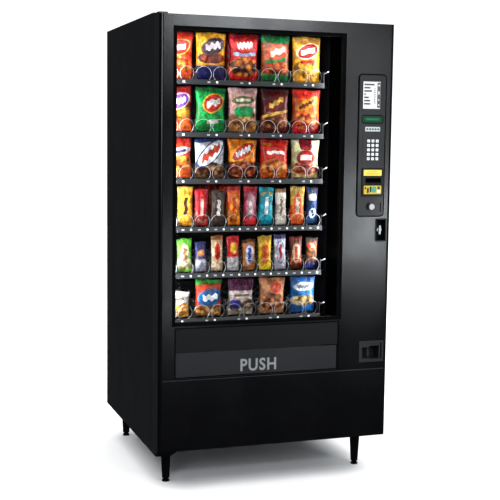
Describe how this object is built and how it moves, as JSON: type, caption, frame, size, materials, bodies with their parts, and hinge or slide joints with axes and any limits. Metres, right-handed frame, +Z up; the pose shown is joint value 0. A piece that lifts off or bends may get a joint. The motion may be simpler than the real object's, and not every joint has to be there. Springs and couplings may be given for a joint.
{
  "type": "snack vending machine",
  "caption": "Glass-front snack vending machine with a hinged door, push flap, keypad, payment slots and trays of wire spirals that push snack packs forward.",
  "frame": {"origin": "centre of the machine's footprint, at floor level under the middle of its bounding box", "axes": "+Z up; the door and window face -Y; +X is to the right of a person facing the window"},
  "size_m": [0.96, 0.965, 1.829],
  "materials": {
    "black_paint": "satin textured paint",
    "grey_paint": "satin",
    "tray_steel": "satin",
    "zinc_steel": "satin",
    "black_plastic": "fine grain",
    "rubber_trim": "matte",
    "window_glass": "clear",
    "motor_plastic": "moulded",
    "spiral_wire": "bright",
    "pack_film": "glossy printed film",
    "card": "printed card",
    "display": "glossy",
    "bright_metal": "polished",
    "key_plastic": "moulded"
  },
  "bodies": {
    "cabinet": {"left_side_panel": "black_paint", "right_side_panel": "black_paint", "back_panel": "black_paint", "top_panel": "black_paint", "base_pan": "black_paint", "front_frame": "black_paint", "compartment_wall": "grey_paint", "tray_runners": "tray_steel", "tray_1": "tray_steel", "tray_2": "tray_steel", "tray_3": "tray_steel", "tray_4": "tray_steel", "tray_5": "tray_steel", "tray_6": "tray_steel", "price_rails": "black_plastic", "spiral_motors": "motor_plastic", "snack_packs": "pack_film", "legs": "black_paint", "leveling_feet": "rubber_trim", "hinge_brackets": "black_paint", "bolt_receiver": "zinc_steel", "power_supply": "zinc_steel", "power_inlet": "black_plastic"},
    "door": {"door_frame": "black_paint", "window_glass": "window_glass", "window_gasket": "rubber_trim", "fascia_panel": "black_plastic", "delivery_bin": "black_plastic", "selection_bezel": "black_plastic", "instruction_card": "card", "display_lens": "display", "keypad_plate": "black_plastic", "bill_validator": "black_plastic", "coin_mechanism": "grey_paint", "coin_cup": "black_plastic", "handle_pocket": "black_plastic"},
    "bag_spiral_left": {"bag_spiral_left": "spiral_wire"},
    "bag_spiral_right": {"bag_spiral_right": "spiral_wire"},
    "bag_queue": {"bag_queue": "pack_film"},
    "bar_spiral": {"bar_spiral": "spiral_wire"},
    "bar_queue": {"bar_queue": "pack_film"},
    "push_flap": {"push_flap": "black_plastic"},
    "delivery_baffle": {"delivery_baffle": "grey_paint"},
    "coin_return_button": {"coin_return_button": "bright_metal"},
    "t_handle": {"t_handle": "bright_metal"},
    "key_1": {"key_1": "key_plastic"},
    "key_2": {"key_2": "key_plastic"},
    "key_3": {"key_3": "key_plastic"},
    "key_4": {"key_4": "key_plastic"},
    "key_5": {"key_5": "key_plastic"},
    "key_6": {"key_6": "key_plastic"},
    "key_7": {"key_7": "key_plastic"},
    "key_8": {"key_8": "key_plastic"},
    "key_9": {"key_9": "key_plastic"},
    "key_10": {"key_10": "key_plastic"},
    "key_11": {"key_11": "key_plastic"},
    "key_12": {"key_12": "key_plastic"},
    "key_13": {"key_13": "key_plastic"},
    "key_14": {"key_14": "key_plastic"},
    "key_15": {"key_15": "key_plastic"}
  },
  "joints": [
    {"name": "door_hinge", "type": "hinge", "parent": "cabinet", "child": "door", "pos_m": [-0.468, -0.4355, 0.99], "axis": [0, 0, -1], "range_deg": [0, 110]},
    {"name": "flap_hinge", "type": "hinge", "parent": "door", "child": "push_flap", "pos_m": [-0.076, -0.4495, 0.537], "axis": [1, 0, 0], "range_deg": [0, 60]},
    {"name": "baffle_hinge", "type": "hinge", "parent": "door", "child": "delivery_baffle", "pos_m": [-0.076, -0.2865, 0.61], "axis": [1, 0, 0], "range_deg": [-84.1, 0]},
    {"name": "coin_return_press", "type": "slide", "parent": "door", "child": "coin_return_button", "axis": [0, 1, 0], "range_m": [0, 0.008], "stiffness_N_per_m": 400},
    {"name": "handle_turn", "type": "hinge", "parent": "door", "child": "t_handle", "pos_m": [0.438, -0.4325, 1.002], "axis": [0, -1, 0], "continuous": true},
    {"name": "bag_spiral_left_turn", "type": "hinge", "parent": "cabinet", "child": "bag_spiral_left", "pos_m": [-0.1345, -0.0625, 1.6077], "axis": [0, -1, 0], "range_deg": [0, 360]},
    {"name": "bag_spiral_right_turn", "type": "hinge", "parent": "cabinet", "child": "bag_spiral_right", "pos_m": [-0.0675, -0.0625, 1.6077], "axis": [0, -1, 0], "range_deg": [-360.1, 0]},
    {"name": "bag_queue_advance", "type": "slide", "parent": "cabinet", "child": "bag_queue", "axis": [0, -1, 0], "range_m": [0, 0.0551]},
    {"name": "bar_spiral_turn", "type": "hinge", "parent": "cabinet", "child": "bar_spiral", "pos_m": [-0.1345, -0.0625, 1.0337], "axis": [0, -1, 0], "range_deg": [0, 360]},
    {"name": "bar_queue_advance", "type": "slide", "parent": "cabinet", "child": "bar_queue", "axis": [0, -1, 0], "range_m": [0, 0.0451]},
    {"name": "key_1_press", "type": "slide", "parent": "door", "child": "key_1", "axis": [0, 1, 0], "range_m": [0, 0.0015], "stiffness_N_per_m": 300},
    {"name": "key_2_press", "type": "slide", "parent": "door", "child": "key_2", "axis": [0, 1, 0], "range_m": [0, 0.0015], "stiffness_N_per_m": 300},
    {"name": "key_3_press", "type": "slide", "parent": "door", "child": "key_3", "axis": [0, 1, 0], "range_m": [0, 0.0015], "stiffness_N_per_m": 300},
    {"name": "key_4_press", "type": "slide", "parent": "door", "child": "key_4", "axis": [0, 1, 0], "range_m": [0, 0.0015], "stiffness_N_per_m": 300},
    {"name": "key_5_press", "type": "slide", "parent": "door", "child": "key_5", "axis": [0, 1, 0], "range_m": [0, 0.0015], "stiffness_N_per_m": 300},
    {"name": "key_6_press", "type": "slide", "parent": "door", "child": "key_6", "axis": [0, 1, 0], "range_m": [0, 0.0015], "stiffness_N_per_m": 300},
    {"name": "key_7_press", "type": "slide", "parent": "door", "child": "key_7", "axis": [0, 1, 0], "range_m": [0, 0.0015], "stiffness_N_per_m": 300},
    {"name": "key_8_press", "type": "slide", "parent": "door", "child": "key_8", "axis": [0, 1, 0], "range_m": [0, 0.0015], "stiffness_N_per_m": 300},
    {"name": "key_9_press", "type": "slide", "parent": "door", "child": "key_9", "axis": [0, 1, 0], "range_m": [0, 0.0015], "stiffness_N_per_m": 300},
    {"name": "key_10_press", "type": "slide", "parent": "door", "child": "key_10", "axis": [0, 1, 0], "range_m": [0, 0.0015], "stiffness_N_per_m": 300},
    {"name": "key_11_press", "type": "slide", "parent": "door", "child": "key_11", "axis": [0, 1, 0], "range_m": [0, 0.0015], "stiffness_N_per_m": 300},
    {"name": "key_12_press", "type": "slide", "parent": "door", "child": "key_12", "axis": [0, 1, 0], "range_m": [0, 0.0015], "stiffness_N_per_m": 300},
    {"name": "key_13_press", "type": "slide", "parent": "door", "child": "key_13", "axis": [0, 1, 0], "range_m": [0, 0.0015], "stiffness_N_per_m": 300},
    {"name": "key_14_press", "type": "slide", "parent": "door", "child": "key_14", "axis": [0, 1, 0], "range_m": [0, 0.0015], "stiffness_N_per_m": 300},
    {"name": "key_15_press", "type": "slide", "parent": "door", "child": "key_15", "axis": [0, 1, 0], "range_m": [0, 0.0015], "stiffness_N_per_m": 300}
  ],
  "couplings": [
    {"joint": "baffle_hinge", "follows": "flap_hinge", "ratio": -1.4},
    {"joint": "bag_spiral_right_turn", "follows": "bag_spiral_left_turn", "ratio": -1},
    {"joint": "bag_queue_advance", "follows": "bag_spiral_left_turn", "m_per_rad": 0.0087535},
    {"joint": "bar_queue_advance", "follows": "bar_spiral_turn", "m_per_rad": 0.007162}
  ]
}
